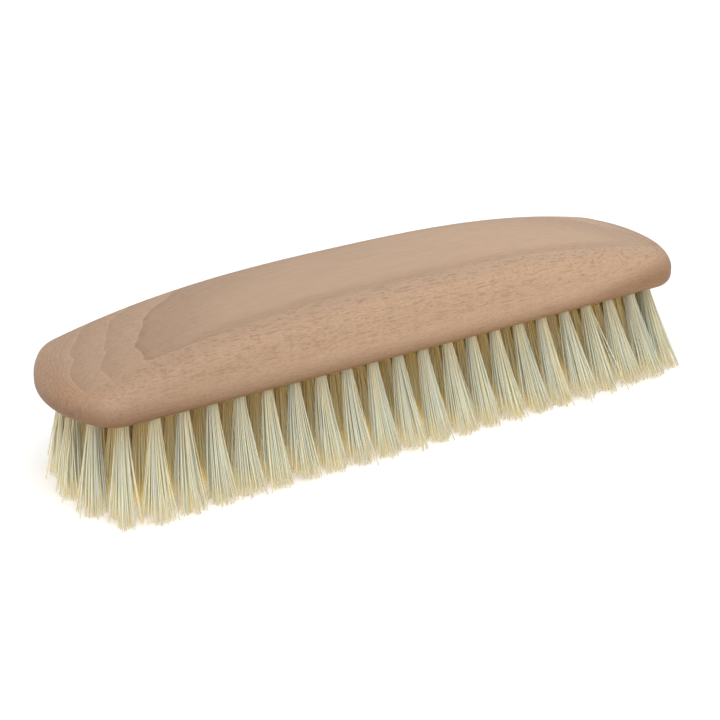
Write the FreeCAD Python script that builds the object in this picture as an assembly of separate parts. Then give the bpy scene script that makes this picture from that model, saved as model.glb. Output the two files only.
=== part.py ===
"""Wooden clothes brush: a one-piece beech block, drilled blind, with staple-set bristle tufts.

Millimetres, +Z up, +X along the block. The origin is the centre of the plane that the
bristle tips stand on, so the block's flat underside is BRISTLE_LENGTH above it.

Each tuft is a bundle of straight filaments folded double over a flat wire anchor. The
setting machine drives fold and anchor to the bottom of a blind hole, and the anchor's two
ends bite into the wood beside the hole. The holes lean, so the tufts fan outwards.
"""

import FreeCAD, Part
import math
import os

from FreeCAD import Rotation, Vector

# ---- block: plan outline ----
LENGTH = 200.0
WIDTH = 46.0
SIDE_RADIUS = 6400.0
END_RADIUS = 32.0
CORNER_RADIUS = 8.4

# ---- block: thickness and rounded edges ----
THICKNESS = 19.5
END_DROP = 11.1
DROP_EXPONENT = 2.7
SIDE_DROP = 1.8
CROWN_EXPONENT = 2.4
TOP_ROUND_OVER = 5.7
RIM_ROUND_OVER = 3.4

# ---- bristles ----
BRISTLE_LENGTH = 25.0
HOLE_DIAMETER = 3.2
HOLE_DEPTH = 6.5
TUFT_CLEARANCE = 0.05
TUFT_TIP_RADIUS = 3.8
FLARE_START = 0.5

# ---- tuft pattern: columns across the straight part, rings around the ends ----
COLUMN_COUNT = 20
COLUMN_PITCH = 8.2
RING_INSETS = (4.4, 11.84, 19.28)
END_SETBACK = 3.8
RING_CORNER_RADIUS = 4.0
END_TUFTS = (5, 3)
LEAN_ALONG = 0.19
LEAN_ACROSS = 0.27

# ---- anchors: short pieces of flat wire ----
ANCHOR_LENGTH = 4.2
ANCHOR_HEIGHT = 1.8
ANCHOR_THICKNESS = 0.4
FOLD_HEIGHT = 0.9

HALF_LENGTH = LENGTH / 2
HALF_WIDTH = WIDTH / 2
HOLE_RADIUS = HOLE_DIAMETER / 2
TUFT_RADIUS = HOLE_RADIUS - TUFT_CLEARANCE
LAST_COLUMN_X = COLUMN_PITCH * (COLUMN_COUNT - 1) / 2
MARGIN = 6.0
UP = Vector(0, 0, 1)


# ---------------------------------------------------------------- plan curves


def corner_centre(half_length, half_width, side_radius, end_radius, corner_radius):
    """Centre of the circle that rounds the corner between the side arc and the end arc."""
    side = Vector(0, half_width - side_radius, 0)
    end = Vector(half_length - end_radius, 0, 0)
    to_side = side_radius - corner_radius
    to_end = end_radius - corner_radius
    span = (end - side).Length
    along = (to_side**2 - to_end**2 + span**2) / (2 * span)
    off = math.sqrt(to_side**2 - along**2)
    direction = (end - side) / span
    normal = Vector(direction.y, -direction.x, 0)
    return side + direction * along + normal * off


def plan_outline(inset, z, setback=0.0):
    """Closed outline of the block in plan, moved inwards by inset: eight tangent arcs.

    The two ends move in by setback more.
    """
    half_length = HALF_LENGTH - inset - setback
    half_width = HALF_WIDTH - inset
    side_radius = SIDE_RADIUS - inset
    end_radius = END_RADIUS - inset - setback
    corner_radius = max(CORNER_RADIUS - inset, RING_CORNER_RADIUS)
    corner = corner_centre(half_length, half_width, side_radius, end_radius, corner_radius)
    side_normal = (corner - Vector(0, half_width - side_radius, 0)).normalize()
    end_normal = (corner - Vector(half_length - end_radius, 0, 0)).normalize()
    on_side = corner + side_normal * corner_radius
    on_corner = corner + (side_normal + end_normal).normalize() * corner_radius
    on_end = corner + end_normal * corner_radius
    side_middle = Vector(0, half_width, 0)
    end_middle = Vector(half_length, 0, 0)

    def arc(*points):
        placed = [Vector(p.x * sx, p.y * sy, z) for p, sx, sy in points]
        return Part.Arc(*placed).toShape()

    edges = []
    for s in (1, -1):
        edges.append(arc((on_side, -s, s), (side_middle, s, s), (on_side, s, s)))
        edges.append(arc((on_side, s, s), (on_corner, s, s), (on_end, s, s)))
        edges.append(arc((on_end, s, s), (end_middle, s, s), (on_end, s, -s)))
        edges.append(arc((on_end, s, -s), (on_corner, s, -s), (on_side, s, -s)))
    return Part.Wire(edges)


def row_half_width(inset, x):
    """Distance of a row of tufts from the centre line: it follows the bowed side."""
    return HALF_WIDTH - inset - (SIDE_RADIUS - math.sqrt(SIDE_RADIUS**2 - x**2))


# ---------------------------------------------------------------- block


def top_height(x, y):
    """Height of the block's back above its underside: arched lengthwise, slightly crowned."""
    lengthwise = END_DROP * abs(x / HALF_LENGTH) ** DROP_EXPONENT
    crosswise = SIDE_DROP * abs(y / HALF_WIDTH) ** CROWN_EXPONENT
    return THICKNESS - lengthwise - crosswise


def back_surface():
    """The arched back as one smooth face, a little larger than the block."""
    columns = 27
    rows = 9
    reach_x = HALF_LENGTH + MARGIN
    reach_y = HALF_WIDTH + MARGIN
    grid = []
    for i in range(columns):
        x = -reach_x + 2 * reach_x * i / (columns - 1)
        line = []
        for j in range(rows):
            y = -reach_y + 2 * reach_y * j / (rows - 1)
            line.append(Vector(x, y, BRISTLE_LENGTH + top_height(x, y)))
        grid.append(line)
    surface = Part.BSplineSurface()
    surface.interpolate(grid)
    return surface.toShape()


def is_upright(edge):
    box = edge.BoundBox
    return box.ZLength > 1.0 and box.XLength < 0.01 and box.YLength < 0.01


def block_blank():
    """The shaped block before drilling: sawn outline, arched back, rounded edges."""
    underside = BRISTLE_LENGTH
    prism = Part.Face(plan_outline(0, underside)).extrude(UP * (THICKNESS + MARGIN))
    under_back = back_surface().extrude(UP * -(THICKNESS + 2 * MARGIN))
    blank = prism.common(under_back).Solids[0]
    rim = [e for e in blank.Edges if e.BoundBox.ZMax < underside + 0.01]
    blank = blank.makeFillet(RIM_ROUND_OVER, rim)
    low = underside + RIM_ROUND_OVER
    crest = [e for e in blank.Edges if e.BoundBox.ZMin > low + 0.5 and not is_upright(e)]
    return blank.makeFillet(TOP_ROUND_OVER, crest)


def brush_block(roots):
    """The block with one blind hole for each tuft and a slit where each anchor bites in."""
    tools = []
    for root in roots:
        tools.append(place(hole_shape(), root))
        tools.append(place(anchor_shape(), root))
    return block_blank().cut(tools)


# ---------------------------------------------------------------- tuft pattern


def column_roots(x):
    """Roots of one crosswise column, from the near side to the far side."""
    offsets = [row_half_width(inset, x) for inset in RING_INSETS]
    across = [-d for d in offsets] + offsets[::-1]
    return [Vector(x, y, BRISTLE_LENGTH) for y in across]


def end_roots(side):
    """Roots around one end, evenly spaced along each ring past the last column."""
    beyond = Part.makeBox(LENGTH, 2 * WIDTH, 2 * MARGIN)
    beyond.translate(Vector(LAST_COLUMN_X, -WIDTH, BRISTLE_LENGTH - MARGIN))
    roots = []
    for inset, count in zip(RING_INSETS, END_TUFTS):
        edges = plan_outline(inset, BRISTLE_LENGTH, END_SETBACK).common(beyond).Edges
        path = Part.Wire(Part.__sortEdges__(edges))
        for point in path.discretize(Number=count + 2)[1:-1]:
            roots.append(Vector(point.x * side, point.y, point.z))
    return roots


def place(shape, root):
    """Moves a shape made about a vertical hole to its root, leaning outwards and down."""
    lean_x = LEAN_ALONG * root.x / HALF_LENGTH
    lean_y = LEAN_ACROSS * root.y / row_half_width(RING_INSETS[0], 0)
    placed = shape.copy()
    placed.Placement = FreeCAD.Placement(root, Rotation(-UP, Vector(lean_x, lean_y, -1)))
    return placed


# ---------------------------------------------------------------- tuft, hole, anchor
# Made about the Z axis, with the block's underside at z = 0 and the bristles downwards.


def hole_shape():
    """A blind hole, run a little past the underside so that it opens cleanly."""
    return Part.makeCylinder(HOLE_RADIUS, HOLE_DEPTH + 1, Vector(0, 0, -1), UP)


def anchor_shape():
    """Flat wire on edge across the hole, under the fold of the tuft."""
    low = HOLE_DEPTH - FOLD_HEIGHT - ANCHOR_HEIGHT
    corner = Vector(-ANCHOR_LENGTH / 2, -ANCHOR_THICKNESS / 2, low)
    return Part.makeBox(ANCHOR_LENGTH, ANCHOR_THICKNESS, ANCHOR_HEIGHT, corner)


def tuft_shape():
    """A folded tuft: round and tight in the hole, flaring to its free ends."""
    reach = BRISTLE_LENGTH * 1.1
    shank_length = HOLE_DEPTH - TUFT_CLEARANCE + FLARE_START
    shank = Part.makeCylinder(TUFT_RADIUS, shank_length, Vector(0, 0, -FLARE_START), UP)
    start = Vector(0, 0, -FLARE_START)
    flare = Part.makeCone(TUFT_RADIUS, TUFT_TIP_RADIUS, reach - FLARE_START, start, -UP)
    return shank.fuse(flare).cut(anchor_shape())


def tuft(root):
    """A tuft at its root, trimmed level at the tips."""
    floor = Part.makeBox(2 * LENGTH, 2 * LENGTH, LENGTH, Vector(-LENGTH, -LENGTH, -LENGTH))
    return place(tuft_shape(), root).cut(floor).Solids[0]


# ---------------------------------------------------------------- assembly


def tuft_groups():
    """Tuft roots by group: one per crosswise column, and one for each end."""
    groups = {}
    for i in range(COLUMN_COUNT):
        x = -LAST_COLUMN_X + COLUMN_PITCH * i
        groups[f"row_{i + 1:02d}"] = column_roots(x)
    groups["left_end"] = end_roots(-1)
    groups["right_end"] = end_roots(1)
    return groups


def main():
    groups = tuft_groups()
    nodes = {"brush_block": brush_block([r for roots in groups.values() for r in roots])}
    for name, roots in groups.items():
        nodes[f"tufts_{name}"] = Part.makeCompound([tuft(root) for root in roots])
        nodes[f"anchors_{name}"] = Part.makeCompound([place(anchor_shape(), r) for r in roots])
    os.makedirs("parts", exist_ok=True)
    for name, shape in nodes.items():
        shape.exportStep(f"parts/{name}.step")
        print(name, len(shape.Solids), "solids,", round(shape.Volume), "mm3, valid", shape.isValid())


main()
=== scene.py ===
"""Looks of the clothes brush: waxed beech, folded bristle tufts, wire anchors, and a plain studio.

Metres, +Z up, +X along the block. Places in the wood, and all shader coordinates, are millimetres.
"""

import math

import bpy
import numpy as np
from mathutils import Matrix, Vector


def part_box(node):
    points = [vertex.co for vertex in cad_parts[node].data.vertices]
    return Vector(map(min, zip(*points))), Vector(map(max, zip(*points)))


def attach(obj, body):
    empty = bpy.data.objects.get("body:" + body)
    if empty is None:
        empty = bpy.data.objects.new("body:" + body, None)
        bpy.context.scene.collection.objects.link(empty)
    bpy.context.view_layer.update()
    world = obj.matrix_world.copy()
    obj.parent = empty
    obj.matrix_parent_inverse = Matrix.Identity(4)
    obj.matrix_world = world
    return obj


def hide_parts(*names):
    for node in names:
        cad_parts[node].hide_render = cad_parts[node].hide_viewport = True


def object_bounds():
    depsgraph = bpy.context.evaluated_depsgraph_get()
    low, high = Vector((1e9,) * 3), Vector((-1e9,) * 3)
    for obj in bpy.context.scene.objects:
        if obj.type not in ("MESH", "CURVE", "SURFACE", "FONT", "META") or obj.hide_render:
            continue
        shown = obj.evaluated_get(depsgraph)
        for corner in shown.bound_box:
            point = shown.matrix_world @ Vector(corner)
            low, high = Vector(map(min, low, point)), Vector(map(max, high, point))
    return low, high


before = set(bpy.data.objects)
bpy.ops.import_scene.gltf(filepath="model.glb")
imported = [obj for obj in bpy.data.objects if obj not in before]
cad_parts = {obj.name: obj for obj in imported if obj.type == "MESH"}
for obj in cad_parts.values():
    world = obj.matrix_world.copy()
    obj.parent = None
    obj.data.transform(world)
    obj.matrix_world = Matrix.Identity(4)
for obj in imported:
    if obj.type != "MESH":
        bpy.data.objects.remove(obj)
cad_low, cad_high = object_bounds()

MM = 0.001
SEED = 7

# ---- block, in millimetres ----
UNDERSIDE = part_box("brush_block")[0].z / MM
BLOCK_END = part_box("brush_block")[1].x / MM

# ---- edge of the heartward zone in the wood, in millimetres ----
EDGE_HEIGHT = 13.2
EDGE_RISE_Y = 0.125
EDGE_FALL_X = 0.023
NEAR_TURN = -14.4
FAR_TURN = 20.5
TURN_SLOPE = 0.8
TURN_BLEND = 2.4
SWELL = 1.3
RIPPLE = 0.13

# ---- growth layers outside that zone ----
LAYERS_PER_MM = 0.42
CROWD_FROM = 5.0
CROWD_EXPONENT = 1.3
CROWD_FACTOR = 1.5

# ---- cut rays: length, width and height of the cells they lie in, in millimetres ----
RAY_SIZES = ((4.4, 0.9, 0.42), (2.6, 0.7, 0.34), (7.5, 1.1, 0.46), (1.7, 0.5, 0.26))
RAY_SHIFT = (11.0, 7.3, 3.7)

# ---- wood tints: what each mark multiplies the colour by ----
LATE_TINT = (0.81, 0.78, 0.75)
SEAM_TINT = (1.16, 1.16, 1.16)
HEART_TINT = (0.82, 0.80, 0.78)
FIBRE_TINT = (0.86, 0.84, 0.82)
MOTTLE_TINT = (0.80, 0.78, 0.76)
RAY_TINT = (0.70, 0.64, 0.58)
# painted light: a cooler cast on upright faces, offsetting the warm light from below
UPRIGHT_LIGHT_OFFSET_TINT = (0.94, 1.0, 1.08)
TICK_TINT = (0.80, 0.72, 0.66)
END_TINT = (0.92, 0.84, 0.76)
# painted shade along the lower edge
RIM_SHADE_TINT = (0.55, 0.47, 0.39)

# ---- colour ramps, as display values from 0 to 255 ----
# wood colour from left to right, partly the wood's own and partly painted light
WOOD_AND_LIGHT_RAMP = [(0.05, (166, 137, 113)), (0.55, (180, 150, 124)), (0.95, (189, 157, 129))]
PALE_RAMP = [
    (0.0, (251, 238, 174)),
    (0.35, (248, 234, 184)),
    (0.7, (228, 227, 196)),
    (1.0, (206, 216, 210)),
]
# painted shade: the golden colour of filaments near their roots and in the shaded middle of the pattern
ROOT_SHADE_RAMP = [
    (0.0, (253, 200, 92)),
    (0.35, (250, 208, 114)),
    (0.75, (200, 188, 152)),
    (1.0, (178, 178, 160)),
]
WIRE_RAMP = [(0.3, (150, 150, 148)), (0.7, (186, 186, 182))]
FLOOR_RAMP = [(0.0, (246, 246, 246)), (1.0, (250, 250, 250))]

# ---- filaments, and how they pack into half the hole on each side of the anchor ----
# MOST_FOLDS sets how close they stand; the whole rows that fit hold 40.
MOST_FOLDS = 46
BRISTLE_RADIUS = 0.165 * MM
TIP_RADIUS = 0.15 * MM
BRISTLE_SIDES = 3
BUNDLE_RADIUS = 1.42 * MM
ANCHOR_GAP = 0.36 * MM
PACKING = 0.92
ROW_RATIO = 0.87
JITTER = 0.03 * MM

# ---- the fold around the anchor, and the shank down to the mouth of the hole ----
# Most folds cut through the top edge of their anchor, out of sight in the hole.
FOLD_DEPTH = 1.3 * MM
FOLD_BULGE = 0.55
FOLD_TURNS = (0.2, 0.5, 0.8)
SHANK_LENGTH = 7.0 * MM

# ---- free ends: stations from the mouth of the hole to the tip, flare, clumps and cut ----
LEG_STATIONS = (0.0, 0.12, 0.3, 0.5, 0.75, 1.0)
FLARE_EXPONENT = 1.15
SPREAD_RANGE = (0.85, 1.30)
WANDER = 0.22 * MM
BOW = 0.16 * MM
STRAY_CHANCE = 0.05
STRAY_WANDER = 2.0 * MM
CLUMP_COUNT = 9
CLUMP_SPREAD = 0.5
CLUMP_PULL = 0.28
CLUMP_CUT = 0.35 * MM
FILAMENT_CUT = 0.25 * MM
BROKEN_CHANCE = 0.04
BROKEN_RANGE = (0.5 * MM, 2.5 * MM)
TIP_CLEARANCE = 0.06 * MM

# ---- sweep of the tips, with more from WORN_FROM millimetres to the left ----
BRISTLE_SWEEP = (1.0 * MM, -0.8 * MM, 0.0)
SWEEP_EXPONENT = 1.5
WORN_FROM = 75.0
WORN_OVER = 12.0
WORN_FAN = 0.06
WORN_SWEEP = -1.9 * MM

# ---- tone of a filament, from 0 for golden to 1 for pale, mostly painted shade: golden in the shaded middle of the pattern and of each bundle ----
LIT_RIM_TONE = 0.72
SHADED_INNER_TONE = 0.30
RIM_REACH = 0.5
BUNDLE_MIDDLE = 0.7
BUNDLE_SHADE_TONE = 0.45
TONE_SCATTER = 0.12

# ---- reading the CAD tufts ----
LEVEL_TOLERANCE = 0.05 * MM
FOLD_SLICE = 0.8 * MM

# ---- camera, with lens and sensor in millimetres ----
CAMERA_AZIMUTH = -32.6
CAMERA_ELEVATION = 24.1
CAMERA_DISTANCE = 528 * MM
CAMERA_LENS = 93.2
SENSOR_WIDTH = 36
AIM_X = -4.3 * MM
AIM_DROP = 9.0 * MM

# ---- studio ----
FLOOR_HALF_SIZE = 3.0
FLOOR_GAP = 0.05 * MM
WORLD_BELOW = (1.45, 1.12, 0.74, 1.0)
WORLD_ABOVE = (0.85, 0.85, 0.85, 1.0)
WORLD_BLEND = (-0.35, -0.03)


# ---------------------------------------------------------------- shader helpers


class Tree:
    """A material's node tree, with short ways to add nodes. Coordinates are millimetres."""

    def __init__(self, name):
        self.material = bpy.data.materials.new(name)
        self.material.use_nodes = True
        self.nodes = self.material.node_tree.nodes
        self.links = self.material.node_tree.links
        self.shader = self.nodes["Principled BSDF"]
        coordinates = self.nodes.new("ShaderNodeTexCoord")
        self.point = self.vector("MULTIPLY", coordinates.outputs["Object"], (1 / MM, 1 / MM, 1 / MM))

    def feed(self, socket, value):
        """Links value to the socket if it is another node's output, else sets it."""
        if isinstance(value, bpy.types.NodeSocket):
            self.links.new(value, socket)
        else:
            socket.default_value = value

    def surface(self, name, value):
        """Feeds one of the shader's own sockets."""
        self.feed(self.shader.inputs[name], value)

    def vector(self, operation, a, b):
        node = self.nodes.new("ShaderNodeVectorMath")
        node.operation = operation
        self.feed(node.inputs[0], a)
        self.feed(node.inputs[1], b)
        return node.outputs["Vector"]

    def scaled(self, factors):
        """The point in millimetres, with each axis multiplied by its own factor."""
        return self.vector("MULTIPLY", self.point, factors)

    def math(self, operation, a, b=0.0, clamp=False):
        node = self.nodes.new("ShaderNodeMath")
        node.operation = operation
        node.use_clamp = clamp
        self.feed(node.inputs[0], a)
        self.feed(node.inputs[1], b)
        return node.outputs[0]

    def plus(self, a, b):
        return self.math("ADD", a, b)

    def minus(self, a, b):
        return self.math("SUBTRACT", a, b)

    def times(self, a, b):
        return self.math("MULTIPLY", a, b)

    def larger(self, a, b):
        return self.math("MAXIMUM", a, b)

    def smooth_min(self, a, b, distance):
        smallest = self.math("SMOOTH_MIN", a, b)
        smallest.node.inputs[2].default_value = distance
        return smallest

    def axes(self, vector):
        node = self.nodes.new("ShaderNodeSeparateXYZ")
        self.feed(node.inputs[0], vector)
        return node.outputs

    def noise(self, vector, detail=2.0, roughness=0.5):
        node = self.nodes.new("ShaderNodeTexNoise")
        self.feed(node.inputs["Vector"], vector)
        node.inputs["Scale"].default_value = 1.0
        node.inputs["Detail"].default_value = detail
        node.inputs["Roughness"].default_value = roughness
        return node.outputs["Fac"]

    def cells(self, vector):
        """Distance to the nearest cell centre, and that cell's random colour."""
        node = self.nodes.new("ShaderNodeTexVoronoi")
        self.feed(node.inputs["Vector"], vector)
        node.inputs["Scale"].default_value = 1.0
        return node.outputs["Distance"], node.outputs["Color"]

    def remap(self, value, low, high, to_low=0.0, to_high=1.0):
        """Smooth step from to_low at low to to_high at high."""
        node = self.nodes.new("ShaderNodeMapRange")
        node.interpolation_type = "SMOOTHSTEP"
        self.feed(node.inputs["Value"], value)
        node.inputs["From Min"].default_value = low
        node.inputs["From Max"].default_value = high
        node.inputs["To Min"].default_value = to_low
        node.inputs["To Max"].default_value = to_high
        return node.outputs["Result"]

    def ramp(self, value, stops):
        node = self.nodes.new("ShaderNodeValToRGB")
        elements = node.color_ramp.elements
        while len(elements) < len(stops):
            elements.new(1.0)
        for element, (position, colour) in zip(elements, stops):
            element.position = position
            element.color = (*linear(colour), 1.0)
        self.feed(node.inputs[0], value)
        return node.outputs["Color"]

    def mix(self, factor, a, b):
        node = self.nodes.new("ShaderNodeMix")
        node.data_type = "RGBA"
        self.feed(node.inputs["Factor"], factor)
        self.feed(node.inputs[6], a)
        self.feed(node.inputs[7], b)
        return node.outputs[2]

    def shade(self, colour, amount, tint):
        """Colour multiplied by tint where amount is 1."""
        return self.mix(amount, colour, self.vector("MULTIPLY", colour, tint))

    def normal(self):
        return self.nodes.new("ShaderNodeNewGeometry").outputs["Normal"]

    def attribute(self, name):
        node = self.nodes.new("ShaderNodeAttribute")
        node.attribute_name = name
        return node.outputs["Fac"]

    def bump(self, height, strength, distance):
        node = self.nodes.new("ShaderNodeBump")
        self.feed(node.inputs["Height"], height)
        node.inputs["Strength"].default_value = strength
        node.inputs["Distance"].default_value = distance
        self.surface("Normal", node.outputs["Normal"])


def linear(colour):
    """Scene-linear value of a display colour given as 0 to 255."""
    return tuple((c / 255) ** 2.2 for c in colour)


# ---------------------------------------------------------------- beech


def heart_depth(t, x, y, height):
    """How far a point lies inside the heartward zone under the back; outside it is negative.

    The zone's edge is level under the middle of the back and turns up along both long sides, so
    the arched back cuts the layers into nested arcs at the ends and lines beside the shoulders.
    """
    level = t.minus(height, t.times(y, EDGE_RISE_Y))
    level = t.plus(level, t.times(x, EDGE_FALL_X))
    level = t.minus(level, EDGE_HEIGHT)
    near = t.times(t.minus(y, NEAR_TURN), TURN_SLOPE)
    far = t.times(t.minus(FAR_TURN, y), TURN_SLOPE)
    depth = t.smooth_min(t.smooth_min(level, near, TURN_BLEND), far, TURN_BLEND)
    swell = t.noise(t.scaled((0.08, 0.10, 0.15)), detail=1.0)
    ripple = t.noise(t.scaled((0.35, 0.40, 0.40)))
    depth = t.plus(depth, t.times(t.minus(swell, 0.5), SWELL))
    return t.plus(depth, t.times(t.minus(ripple, 0.5), RIPPLE))


def tone_and_light_drift(t, x):
    """Colour drifting slowly along the block, paler towards the right: partly the wood's own drift and
    partly painted light.
    """
    drift = t.noise(t.scaled((0.016, 0.05, 0.05)))
    place = t.plus(t.math("DIVIDE", x, 2 * BLOCK_END), t.times(drift, 0.5))
    return t.ramp(t.plus(place, 0.25), WOOD_AND_LIGHT_RAMP)


def growth_layers(t, colour, depth, side):
    """Layers wide near the back and crowded at the tips, each darkening up to the next's seam."""
    below = t.times(depth, -1.0)
    crowd = t.math("POWER", t.larger(t.minus(below, CROWD_FROM), 0.0), CROWD_EXPONENT)
    layer = t.plus(t.times(below, LAYERS_PER_MM), t.times(crowd, CROWD_FACTOR))
    within = t.math("FRACT", layer)
    late = t.remap(within, 0.25, 1.0)
    seam = t.remap(within, 0.0, 0.13, 1.0, 0.0)
    # none in the heartward zone, and faint ones on the sides
    shown = t.minus(1.0, t.larger(t.times(side, 0.85), t.remap(depth, 0.1, 0.8)))
    colour = t.shade(colour, t.times(t.times(late, shown), 0.50), LATE_TINT)
    return t.shade(colour, t.times(t.times(seam, shown), 0.55), SEAM_TINT)


def heart_zone(t, colour, x, depth):
    """One wide layer, darkest beside its edge, which is sharp at the left end and soft elsewhere."""
    width = t.remap(x, BLOCK_END * -0.64, BLOCK_END * -0.40, 0.12, 2.0)
    inside = t.math("DIVIDE", t.plus(depth, t.times(width, 0.5)), width, clamp=True)
    fade = t.remap(depth, 0.0, 6.0, 1.0, 0.0)
    return t.shade(colour, t.times(inside, t.remap(fade, 0.0, 1.0, 0.05, 0.75)), HEART_TINT)


def ray_dashes(t):
    """Cut rays: slim needles along the grain, each kind scattered in cells of its own size."""
    dashes = 0.0
    for number, size in enumerate(RAY_SIZES):
        shifted = t.vector("ADD", t.point, tuple(number * shift for shift in RAY_SHIFT))
        distance, tint = t.cells(t.vector("MULTIPLY", shifted, tuple(1 / s for s in size)))
        chance = t.remap(t.axes(tint)[0], 0.2, 0.95)
        needle = t.times(t.remap(distance, 0.16, 0.42, 1.0, 0.0), chance)
        dashes = t.larger(dashes, needle)
    return dashes


def beech_rays(t, depth, side, height):
    """Dashes on both sides, fainter towards the rim and faintest on the middle of the back."""
    under_back = t.remap(depth, -0.5, 5.0, 0.55, 0.06)
    beside = t.times(side, t.remap(height, 3.0, 12.0, 0.3, 1.0))
    return t.times(ray_dashes(t), t.larger(beside, under_back))


def end_grain(t, colour, x):
    """Upright ticks, and a deeper, warmer tone where the ends drink the wax."""
    end = t.remap(t.math("ABSOLUTE", x), BLOCK_END - 9.0, BLOCK_END - 1.0)
    ticks = t.noise(t.scaled((2.2, 3.4, 0.35)), detail=3.0, roughness=0.6)
    colour = t.shade(colour, t.times(end, t.remap(ticks, 0.42, 0.68)), TICK_TINT)
    return t.shade(colour, t.times(end, 0.45), END_TINT)


def painted_rim_shade(t, colour, x, height, facing):
    """The lower edge is darkened with painted shade, reaching highest at the two ends; the flat underside
    stays bare.
    """
    lift_right = t.remap(x, BLOCK_END * 0.5, BLOCK_END * 0.95, 0.0, 5.0)
    lift_left = t.remap(x, BLOCK_END * -0.95, BLOCK_END * -0.6, 1.0, 0.0)
    above = t.minus(height, t.plus(lift_right, lift_left))
    rim = t.times(t.remap(above, 0.0, 7.5, 1.0, 0.0), t.remap(facing, -1.0, -0.8))
    return t.shade(colour, rim, RIM_SHADE_TINT)


def beech():
    """Flat-sawn beech as a solid texture, so that every face shows its own cut of the same wood."""
    t = Tree("beech")
    x, y, z = t.axes(t.point)
    height = t.minus(z, UNDERSIDE)
    facing = t.axes(t.normal())[2]
    depth = heart_depth(t, x, y, height)
    side = t.remap(t.larger(t.minus(NEAR_TURN, y), t.minus(y, FAR_TURN)), -1.5, 1.5)
    rays = beech_rays(t, depth, side, height)
    fibre = t.noise(t.scaled((0.09, 2.6, 2.6)), detail=4.0, roughness=0.6)
    mottle = t.noise(t.scaled((1.1, 2.6, 2.6)), detail=3.0, roughness=0.7)

    colour = tone_and_light_drift(t, x)
    colour = growth_layers(t, colour, depth, side)
    colour = heart_zone(t, colour, x, depth)
    # long faint streaks everywhere, and a mottle that is strongest on the sides
    colour = t.shade(colour, t.remap(fibre, 0.38, 0.72, 0.0, 0.5), FIBRE_TINT)
    mottled = t.times(t.remap(mottle, 0.42, 0.68), t.remap(side, 0.0, 1.0, 0.15, 0.6))
    colour = t.shade(colour, mottled, MOTTLE_TINT)
    colour = t.shade(colour, t.times(rays, 0.75), RAY_TINT)
    # painted light: upright faces get a cooler cast, offsetting the warm light from below
    colour = t.shade(colour, t.remap(facing, 0.05, 0.75, 1.0, 0.0), UPRIGHT_LIGHT_OFFSET_TINT)
    colour = end_grain(t, colour, x)
    # painted shade along the lower edge, where the underside is occluded
    colour = painted_rim_shade(t, colour, x, height, facing)
    t.surface("Base Color", colour)

    # waxed satin, duller in the rays, with the fine relief of sanded grain
    t.surface("Roughness", t.plus(t.remap(fibre, 0.3, 0.7, 0.46, 0.56), t.times(rays, 0.12)))
    t.surface("Specular IOR Level", 0.35)
    relief = t.minus(t.times(fibre, 0.25), rays)
    relief = t.plus(relief, t.times(t.times(mottle, side), 0.5))
    t.bump(relief, 0.8, 0.06 * MM)
    return t.material


# ---------------------------------------------------------------- other materials


def bristle():
    """Bleached natural filament: cream with a green cast, with painted shade that makes it deeper and
    yellower towards its root.
    """
    t = Tree("bristle")
    z = t.axes(t.point)[2]
    tone_and_shade = t.attribute("tone_and_shade")
    # painted shade: filaments turn golden towards their roots, under the block
    root = t.remap(z, UNDERSIDE * 0.3, UNDERSIDE * 1.02)
    colour = t.mix(t.times(root, 0.8), t.ramp(tone_and_shade, PALE_RAMP), t.ramp(tone_and_shade, ROOT_SHADE_RAMP))
    streak = t.noise(t.scaled((1.2, 1.2, 0.12)))
    colour = t.shade(colour, t.remap(streak, 0.35, 0.65, 0.0, 0.5), (0.94, 0.93, 0.88))
    t.surface("Base Color", colour)
    t.surface("Subsurface Weight", 0.2)
    t.surface("Subsurface Radius", (1.0, 0.9, 0.6))
    t.surface("Subsurface Scale", 1.0 * MM)
    t.surface("Roughness", t.remap(streak, 0.3, 0.7, 0.36, 0.48))
    t.surface("Specular IOR Level", 0.2)
    return t.material


def anchor_wire():
    """Drawn flat steel wire, with fine lines along it."""
    t = Tree("anchor_wire")
    lines = t.noise(t.scaled((0.6, 30.0, 30.0)), detail=3.0)
    t.surface("Base Color", t.ramp(lines, WIRE_RAMP))
    t.surface("Metallic", 1.0)
    t.surface("Roughness", t.remap(lines, 0.3, 0.7, 0.28, 0.42))
    t.bump(lines, 0.2, 0.01 * MM)
    return t.material


def pale_floor():
    """Matt white, lit a little from within so that it stays as bright as the backdrop."""
    t = Tree("pale_floor")
    grain = t.noise(t.scaled((0.02, 0.02, 0.02)))
    t.surface("Base Color", t.ramp(grain, FLOOR_RAMP))
    t.surface("Roughness", 0.9)
    t.surface("Specular IOR Level", 0.1)
    t.surface("Emission Color", (1.0, 1.0, 1.0, 1.0))
    t.surface("Emission Strength", 0.12)
    return t.material


# ---------------------------------------------------------------- CAD tufts


def islands(mesh):
    """Vertex positions of each separate solid in a mesh."""
    points = np.zeros(len(mesh.vertices) * 3)
    mesh.vertices.foreach_get("co", points)
    points = points.reshape(-1, 3)
    # vertices that share a place belong together, whatever normals split them
    _, place = np.unique(np.round(points, decimals=7), axis=0, return_inverse=True)
    place = place.reshape(-1)
    # the lowest label spreads along the edges until each solid has one
    label = np.arange(place.max() + 1)
    ends = np.zeros(len(mesh.edges) * 2, int)
    mesh.edges.foreach_get("vertices", ends)
    a, b = place[ends.reshape(-1, 2)].T
    while True:
        low = np.minimum(label[a], label[b])
        updated = label.copy()
        np.minimum.at(updated, a, low)
        np.minimum.at(updated, b, low)
        updated = updated[updated]
        if (updated == label).all():
            break
        label = updated
    owner = label[place]
    return [points[owner == k] for k in np.unique(owner)]


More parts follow.
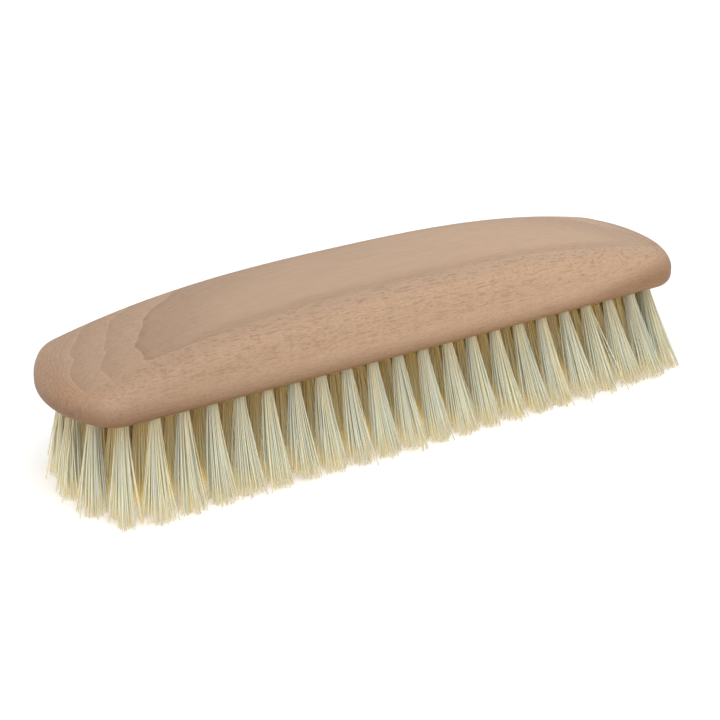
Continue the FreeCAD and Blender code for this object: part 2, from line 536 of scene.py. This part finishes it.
def tuft_axes(node):
    """Middle of the fold end, middle of the level tip, and tip radius of each tuft in a CAD node."""
    axes = []
    for points in islands(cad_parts[node].data):
        height = points[:, 2]
        tip = points[height < height.min() + LEVEL_TOLERANCE]
        top = points[height > height.max() - FOLD_SLICE]
        centre = tip.mean(0)
        radius = np.linalg.norm(tip - centre, axis=1).max()
        axes.append((top.mean(0), centre, radius))
    return axes


# ---------------------------------------------------------------- filaments


class Tuft:
    """A tuft's own axes: down its length, along its anchor, and across the anchor."""

    def __init__(self, top, tip):
        self.top = top
        self.tip = tip
        self.length = np.linalg.norm(tip - top)
        self.down = (tip - top) / self.length
        across = np.cross(self.down, (1.0, 0.0, 0.0))
        self.across = across / np.linalg.norm(across)
        self.along = np.cross(self.across, self.down)

    def place(self, distance, along, across):
        """The point at a distance down from the top and off the centre line."""
        return self.top + self.down * distance + self.along * along + self.across * across

    def sweep(self):
        """How far the tips are swept from straight: a common set, and more at the worn left end."""
        worn = min(max(-self.tip[0] / MM - WORN_FROM, 0.0) / WORN_OVER, 1.0)
        return np.array(BRISTLE_SWEEP) + worn * np.array([WORN_FAN * self.tip[1], WORN_SWEEP, 0.0])


def packed_half_disc(count, radius, gap):
    """Up to count points packed in half a disc beyond gap from its straight edge."""
    pitch = math.sqrt(math.pi * radius**2 / 2 / count / PACKING)
    points = []
    row = 0
    y = gap
    while y < radius:
        reach = math.sqrt(radius**2 - y**2)
        x = -reach + (row % 2) * pitch / 2
        while x < reach:
            points.append((x, y))
            x += pitch
        y += pitch * ROW_RATIO
        row += 1
    return np.array(points[:count])


def leg_goal(start, tip_radius, clumps, rng):
    """Where a free end is bound at the tip plane, drawn to its nearest clump, and that clump's number."""
    spread = tip_radius / BUNDLE_RADIUS
    goal = start * spread * rng.uniform(*SPREAD_RANGE) + rng.normal(0, WANDER, 2)
    if rng.random() < STRAY_CHANCE:
        goal += rng.normal(0, STRAY_WANDER, 2)
    near = np.argmin(np.linalg.norm(clumps - goal, axis=1))
    goal += (clumps[near] - goal) * rng.uniform(0.0, CLUMP_PULL)
    return goal, near


def leg_path(tuft, start, goal, bow, cut):
    """Centre line of one free end, cut off level at the tip plane or a little above it."""
    shank = SHANK_LENGTH / tuft.length
    sweep = tuft.sweep()
    points = []
    for s in LEG_STATIONS:
        offset = start + (goal - start) * s**FLARE_EXPONENT + bow * math.sin(math.pi * s)
        distance = tuft.length * (shank + (1 - shank) * s)
        points.append(tuft.place(distance, *offset) + sweep * s**SWEEP_EXPONENT)
    points = np.array(points)
    floor = tuft.tip[2] + TIP_CLEARANCE + cut
    last, before = points[-1], points[-2]
    points[-1] = before + (last - before) * (before[2] - floor) / (before[2] - last[2])
    return points


def fold_path(tuft, x, y):
    """Centre line of the fold, from one side of the anchor to the other."""
    points = []
    for turn in FOLD_TURNS:
        angle = math.pi * turn
        depth = FOLD_DEPTH - FOLD_BULGE * math.sin(angle) * y
        points.append(tuft.place(depth, x, y * math.cos(angle)))
    return points


def tuft_paths(top, tip, tip_radius, rng):
    """Centre lines of one tuft's folded filaments, each from one tip round the anchor to the other.

    Also gives how far out each filament lies in the bundle, from 0 at its middle to 1.
    """
    tuft = Tuft(top, tip)
    half = packed_half_disc(MOST_FOLDS, BUNDLE_RADIUS, ANCHOR_GAP)
    half += rng.normal(0, JITTER, half.shape)
    clumps = rng.normal(0, CLUMP_SPREAD, (CLUMP_COUNT, 2)) * tip_radius
    clump_cuts = rng.exponential(CLUMP_CUT, CLUMP_COUNT)
    paths = []
    for x, y in half:
        legs = []
        for side in (1, -1):
            start = np.array([x, y * side])
            goal, near = leg_goal(start, tip_radius, clumps, rng)
            bow = rng.normal(0, BOW, 2)
            cut = clump_cuts[near] + rng.exponential(FILAMENT_CUT)
            cut += (rng.random() < BROKEN_CHANCE) * rng.uniform(*BROKEN_RANGE)
            legs.append(leg_path(tuft, start, goal, bow, cut))
        paths.append(np.vstack([legs[0][::-1], fold_path(tuft, x, y), legs[1]]))
    return np.array(paths), np.linalg.norm(half, axis=1) / BUNDLE_RADIUS


def bristle_radii():
    """Radius at each station: thick through the fold, tapering to both tips."""
    leg = [BRISTLE_RADIUS + (TIP_RADIUS - BRISTLE_RADIUS) * s for s in LEG_STATIONS]
    return np.array(leg[::-1] + [BRISTLE_RADIUS] * len(FOLD_TURNS) + leg)


def ring_axes(paths):
    """Two directions square to each path at each station, that don't flip along it."""
    direction = np.gradient(paths, axis=1)
    direction /= np.linalg.norm(direction, axis=2, keepdims=True)
    # the reference runs across the brush, a little askew so that no fold lies in line with it
    first = np.cross(direction, np.array([0.02, 1.0, 0.02]))
    flip = np.sum(first[:, 1:] * first[:, :-1], axis=2, keepdims=True) < 0
    first[:, 1:] *= np.where(np.cumsum(flip, axis=1) % 2 == 1, -1.0, 1.0)
    first /= np.linalg.norm(first, axis=2, keepdims=True)
    return first, np.cross(direction, first)


def tube_mesh(name, paths, radii, tones_and_shade):
    """Thin closed tubes along equal-length paths, each with its own tone and painted shade."""
    count, stations, _ = paths.shape
    first, second = ring_axes(paths)
    turn = np.arange(BRISTLE_SIDES) * 2 * math.pi / BRISTLE_SIDES
    ring = (
        paths[:, :, None, :]
        + radii[None, :, None, None] * np.cos(turn)[None, None, :, None] * first[:, :, None, :]
        + radii[None, :, None, None] * np.sin(turn)[None, None, :, None] * second[:, :, None, :]
    )
    index = np.arange(count * stations * BRISTLE_SIDES).reshape(count, stations, BRISTLE_SIDES)
    following = np.roll(index, -1, axis=2)
    corners = [index[:, :-1], following[:, :-1], following[:, 1:], index[:, 1:]]
    quads = np.stack(corners, axis=-1).reshape(-1, 4)
    caps = np.vstack([index[:, 0, ::-1], index[:, -1, :]])
    mesh = bpy.data.meshes.new(name)
    mesh.from_pydata(ring.reshape(-1, 3).tolist(), [], quads.tolist() + caps.tolist())
    attribute = mesh.attributes.new("tone_and_shade", "FLOAT", "POINT")
    vertex_tones = np.repeat(tones_and_shade, stations * BRISTLE_SIDES)
    attribute.data.foreach_set("value", vertex_tones.astype(np.float32))
    mesh.shade_smooth()
    return mesh


def filament_tones_and_shade(tips, out, rng):
    """Tone of each filament, mostly painted shade: palest where light falls, around the rim of the
    pattern and around its own bundle, with a random scatter.
    """
    reach = [(abs(tip[0]) / cad_high.x) ** 6 + (abs(tip[1]) / cad_high.y) ** 4 for tip in tips]
    middle = np.where(np.array(reach) > RIM_REACH, LIT_RIM_TONE, SHADED_INNER_TONE)
    middle = np.repeat(middle, len(out) // len(tips))
    # painted shade: the middle of the pattern and of each bundle turns golden
    return np.clip(rng.normal(middle + BUNDLE_SHADE_TONE * (out - BUNDLE_MIDDLE), TONE_SCATTER), 0, 1)


def bristle_group(node, material, rng):
    """One piece for a CAD node of tufts: every filament of its bundles."""
    axes = tuft_axes(node)
    bundles = [tuft_paths(*axis, rng) for axis in axes]
    paths = np.vstack([lines for lines, _ in bundles])
    out = np.concatenate([fractions for _, fractions in bundles])
    tones_and_shade = filament_tones_and_shade([tip for _, tip, _ in axes], out, rng)
    name = node.replace("tufts", "bristles")
    piece = bpy.data.objects.new(name, tube_mesh(name, paths, bristle_radii(), tones_and_shade))
    bpy.context.scene.collection.objects.link(piece)
    piece.data.materials.append(material)
    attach(piece, "root")
    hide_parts(node)
    return piece


# ---------------------------------------------------------------- studio


def direction(azimuth, elevation):
    """Unit vector from the object towards a viewpoint."""
    a = math.radians(azimuth)
    e = math.radians(elevation)
    return Vector((math.sin(a) * math.cos(e), -math.cos(a) * math.cos(e), math.sin(e)))


def look_back(thing, toward):
    """Turns a camera or light that stands off in direction toward to face back along it."""
    thing.rotation_euler = (-toward).to_track_quat("-Z", "Y").to_euler()


def make_camera():
    data = bpy.data.cameras.new("camera")
    data.lens = CAMERA_LENS
    data.sensor_width = SENSOR_WIDTH
    data.clip_start = 0.01
    data.clip_end = 20
    camera = bpy.data.objects.new("camera", data)
    bpy.context.scene.collection.objects.link(camera)
    back = direction(CAMERA_AZIMUTH, CAMERA_ELEVATION)
    camera.location = Vector((AIM_X, 0, UNDERSIDE * MM - AIM_DROP)) + back * CAMERA_DISTANCE
    look_back(camera, back)
    bpy.context.scene.camera = camera


def make_floor():
    size = FLOOR_HALF_SIZE
    mesh = bpy.data.meshes.new("floor")
    corners = [(-size, -size, 0), (size, -size, 0), (size, size, 0), (-size, size, 0)]
    mesh.from_pydata(corners, [], [(0, 1, 2, 3)])
    mesh.materials.append(pale_floor())
    floor = bpy.data.objects.new("floor", mesh)
    floor.location.z = cad_low.z - FLOOR_GAP
    # no bounce light off the floor: light from below comes from the world alone
    floor.visible_diffuse = False
    bpy.context.scene.collection.objects.link(floor)


def softbox(name, azimuth, elevation, distance, size, power):
    data = bpy.data.lights.new(name, "AREA")
    data.shape = "DISK"
    data.size = size
    data.energy = power
    light = bpy.data.objects.new(name, data)
    bpy.context.scene.collection.objects.link(light)
    toward = direction(azimuth, elevation)
    light.location = toward * distance
    look_back(light, toward)


def make_world():
    """Plain grey above, and a warm glow below that lights the gaps between the tufts."""
    world = bpy.data.worlds.new("studio")
    world.use_nodes = True
    nodes = world.node_tree.nodes
    links = world.node_tree.links
    coordinates = nodes.new("ShaderNodeTexCoord")
    axes = nodes.new("ShaderNodeSeparateXYZ")
    links.new(coordinates.outputs["Generated"], axes.inputs[0])
    height = nodes.new("ShaderNodeMapRange")
    height.interpolation_type = "SMOOTHSTEP"
    height.inputs["From Min"].default_value = WORLD_BLEND[0]
    height.inputs["From Max"].default_value = WORLD_BLEND[1]
    links.new(axes.outputs["Z"], height.inputs["Value"])
    tint = nodes.new("ShaderNodeMix")
    tint.data_type = "RGBA"
    tint.inputs[6].default_value = WORLD_BELOW
    tint.inputs[7].default_value = WORLD_ABOVE
    links.new(height.outputs["Result"], tint.inputs["Factor"])
    links.new(tint.outputs[2], nodes["Background"].inputs["Color"])
    bpy.context.scene.world = world


def make_lights():
    softbox("key", azimuth=-20, elevation=62, distance=1.2, size=0.9, power=5.0)
    softbox("fill", azimuth=-45, elevation=14, distance=1.3, size=1.1, power=5.2)
    make_world()
    bpy.context.scene.view_settings.view_transform = "Standard"


# ---------------------------------------------------------------- assembly


def paint(node, material):
    """Gives a CAD object one material."""
    node.data.materials.clear()
    node.data.materials.append(material)


def main():
    make_camera()
    rng = np.random.default_rng(SEED)
    wire = anchor_wire()
    filament = bristle()
    paint(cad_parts["brush_block"], beech())
    for name in sorted(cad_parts):
        if name.startswith("anchors"):
            paint(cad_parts[name], wire)
        elif name.startswith("tufts"):
            bristle_group(name, filament, rng)
    make_floor()
    make_lights()


main()
